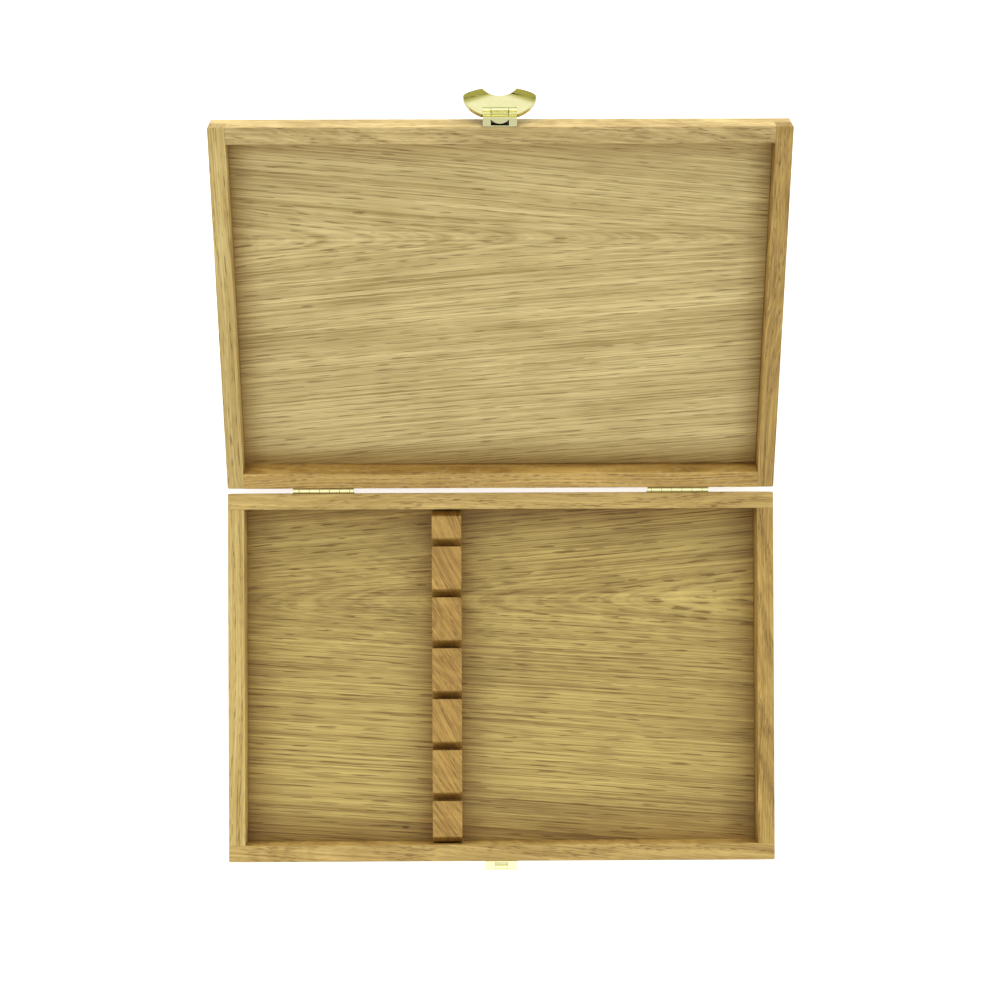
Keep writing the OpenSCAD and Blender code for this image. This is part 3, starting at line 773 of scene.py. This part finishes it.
@dataclass
class Clasp(SubAssembly):
    """The pressed brass keeper and bracket and the cast tab, with their pin and nails."""

    sheet_edge: float = 0.08
    tab_edge: float = 0.3
    # Corners of the thumb notch, in the row frame
    notch_tips: tuple[Triple, ...] = ((8.36, 309.44, 95.68), (-9.16, 309.44, 95.68))

    def build(self) -> None:
        """Dresses the clasp's pieces that ride on this body."""
        polished = Brass("polished_brass_clasp", Working.POLISHED)
        drawn = Brass("drawn_brass_pin", Working.DRAWN, bright="#dcc87c")
        turned = Brass("cut_brass_nails", Working.TURNED, bright="#e2cf86")
        if self.body == "base":
            self.metal("clasp_keeper", polished, "brass_clasp", self.sheet_edge)
            self.metal("keeper_nails", turned, "brass_screws", self.sheet_edge)
        elif self.body == "lid":
            # The bracket's plate against the wood gets a deep painted shade, so the pocket behind
            # the shelf shows black
            front = self.closing.inverted().to_3x3() @ Vector((0.0, -1.0, 0.0))
            self.metal("clasp_bracket", replace(polished, behind=front), "brass_clasp",
                       self.sheet_edge)
            self.metal("bracket_nails", turned, "brass_screws", self.sheet_edge)
            self.metal("clasp_pin", drawn, "brass_pins", self.sheet_edge)
        else:
            self.metal("clasp_tab", polished, "brass_clasp", self.tab_edge, 3, self.notch_tips)


@dataclass
class Studio:
    """A white table under soft light, seen from straight above. Its sizes are in metres."""

    lens: float = 78.01
    place: Triple = (-0.010359, 0.091814, 1.213752)
    # In degrees
    turn: Triple = (0.259, -0.477, -0.235)
    table: float = 6.0
    # Strength of the room's light from above and from the sides
    overhead: float = 0.3
    around: float = 1.18
    # Powers in watts
    strip_lamp: float = 1.6
    back_lamp: float = 20.0
    far_lamp: float = 5.0

    def build(self) -> None:
        """Sets up the table, the light and the camera."""
        self.floor()
        self.world()
        self.lamps()
        self.camera()
        bpy.context.scene.view_settings.view_transform = "Standard"

    def floor(self) -> None:
        """Lays a white table that shows as white to the lens, and in the metal as a painted
        reflection, pale grey near the box and olive further off.
        """
        bm = bmesh.new()
        bmesh.ops.create_grid(bm, x_segments=2, y_segments=2, size=self.table)
        mesh = bpy.data.meshes.new("table_top")
        bm.to_mesh(mesh)
        bm.free()
        material, tree = new_tree("white_laminate_table")
        seen = add_node(tree, "LightPath", out="Is Camera Ray")
        mirrored = add_node(tree, "LightPath", out="Is Glossy Ray")
        matt = add_node(tree, "BsdfDiffuse", {"Color": linear("#f4f4f4")})
        lift = add_node(tree, "Emission", {"Color": linear("#ffffff"), "Strength": 0.6})
        lift = add_node(tree, "AddShader", {0: matt, 1: lift})
        far = add_node(tree, "TexCoord", out="Object")
        far = add_node(tree, "VectorMath", {0: far}, out="Value", operation="LENGTH")
        # Painted reflection: the metal sees the table glow pale grey near the box and olive from
        # 0.6 m off
        near = add_node(tree, "ValToRGB", {"Fac": far}, stops=[
            (0.3, 0.95), (0.6, linear("#bcb76e"))])
        painted_reflection = add_node(tree, "Emission", {"Color": near, "Strength": 1.0})
        shown = add_node(tree, "MixShader", {0: seen, 1: matt, 2: lift})
        shown = add_node(tree, "MixShader", {0: mirrored, 1: shown, 2: painted_reflection})
        add_node(tree, "OutputMaterial", {"Surface": shown})
        mesh.materials.append(material)
        floor = bpy.data.objects.new("table_top", mesh)
        bpy.context.scene.collection.objects.link(floor)

    def world(self) -> None:
        """Surrounds the table with a white room that lights it more from the sides than above.

        The metal mirrors pale brass tones low down, where its own edges and the wood stand round
        it, and white above them. The camera sees plain white.
        """
        world = bpy.data.worlds.new("white_room")
        bpy.context.scene.world = world
        world.use_nodes = True
        tree = world.node_tree
        tree.nodes.clear()
        seen = add_node(tree, "LightPath", out="Is Camera Ray")
        way = add_node(tree, "TexCoord", out="Generated")
        height = add_node(tree, "SeparateXYZ", {0: way}, out=2)
        level = add_node(tree, "MapRange", {
            "Value": height, "From Min": 0.55, "From Max": 0.95, "To Min": self.around,
            "To Max": self.overhead}, interpolation_type="SMOOTHSTEP")
        mirrored = add_node(tree, "LightPath", out="Is Glossy Ray")
        wall = add_node(tree, "ValToRGB", {"Fac": height}, stops=[
            (0.0, linear("#857c40")), (0.05, linear("#bebd6f")), (0.14, linear("#c8c078")),
            (0.26, 1.25), (0.50, 1.15), (0.68, 0.78), (0.85, 0.85), (0.97, 1.6)])
        level = add_node(tree, "Mix", {0: mirrored, 6: level, 7: wall}, out=2, data_type="RGBA")
        light = add_node(tree, "Background", {"Color": level, "Strength": 1.0})
        white = add_node(tree, "Background", {"Color": linear("#ffffff"), "Strength": 1.0})
        both = add_node(tree, "MixShader", {0: seen, 1: light, 2: white})
        add_node(tree, "OutputWorld", {"Surface": both})

    def lamps(self) -> None:
        """Hangs a strip that glints on the barrels, and two soft boxes behind the open lid."""
        self.lamp("strip_box", (0.0, -0.1, 1.4), 1.4, 0.14, self.strip_lamp)
        back = self.lamp("back_box", (0.0, 1.9, 0.5), 2.2, 0.4, self.back_lamp)
        far = self.lamp("far_box", (0.0, 1.5, 1.35), 1.6, 0.8, self.far_lamp)
        back.visible_glossy = far.visible_glossy = False

    def lamp(self, name: str, place: Triple, width: float, height: float, power: float
             ) -> bpy.types.Object:
        """Hangs one soft box that looks at the middle of the box.

        Args:
            name: The lamp's name.
            place: Where it hangs.
            width: Its width.
            height: Its height.
            power: Its power in watts.

        Returns:
            The lamp.
        """
        light = bpy.data.lights.new(name, "AREA")
        light.shape = "RECTANGLE"
        light.size, light.size_y, light.energy = width, height, power
        holder = bpy.data.objects.new(name, light)
        bpy.context.scene.collection.objects.link(holder)
        holder.location = place
        aim = holder.location - Vector((0.0, 0.1, 0.0))
        holder.rotation_euler = aim.to_track_quat("Z", "Y").to_euler()
        return holder

    def camera(self) -> None:
        """Puts the camera over the box, level with the table."""
        camera = bpy.data.cameras.new("overhead")
        camera.lens = self.lens
        camera.sensor_width = 36.0
        camera.clip_start, camera.clip_end = 0.1, 20.0
        holder = bpy.data.objects.new("overhead", camera)
        bpy.context.scene.collection.objects.link(holder)
        holder.location = self.place
        holder.rotation_euler = Euler([math.radians(a) for a in self.turn])
        bpy.context.scene.camera = holder


def main() -> None:
    """Builds every sub-assembly in order, then the studio."""
    logging.basicConfig(level=logging.INFO, format="%(name)s: %(message)s")
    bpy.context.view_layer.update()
    parts = {"nodes": frame["nodes"], "joints": frame["joints"]}
    # The closed lid lies 0.2 mm above the base's rim and is 16 mm high
    lid = {"body": "lid", "rim": 22.2, "far": 38.2}
    works: list[SubAssembly] = [
        BaseTray(**parts), Lid(**parts, **lid), KnifeRack(**parts),
        StripHinges(**parts), StripHinges(**parts, **lid),
        Clasp(**parts), Clasp(**parts, **lid), Clasp(**parts, body="clasp")]
    for work in works:
        work.build()
        for piece in work.pieces:
            log.info("%s on %s: %s, %d faces", type(work).__name__, work.body, piece.name,
                     len(piece.data.polygons))
    Studio().build()


if __name__ == "__main__":
    main()
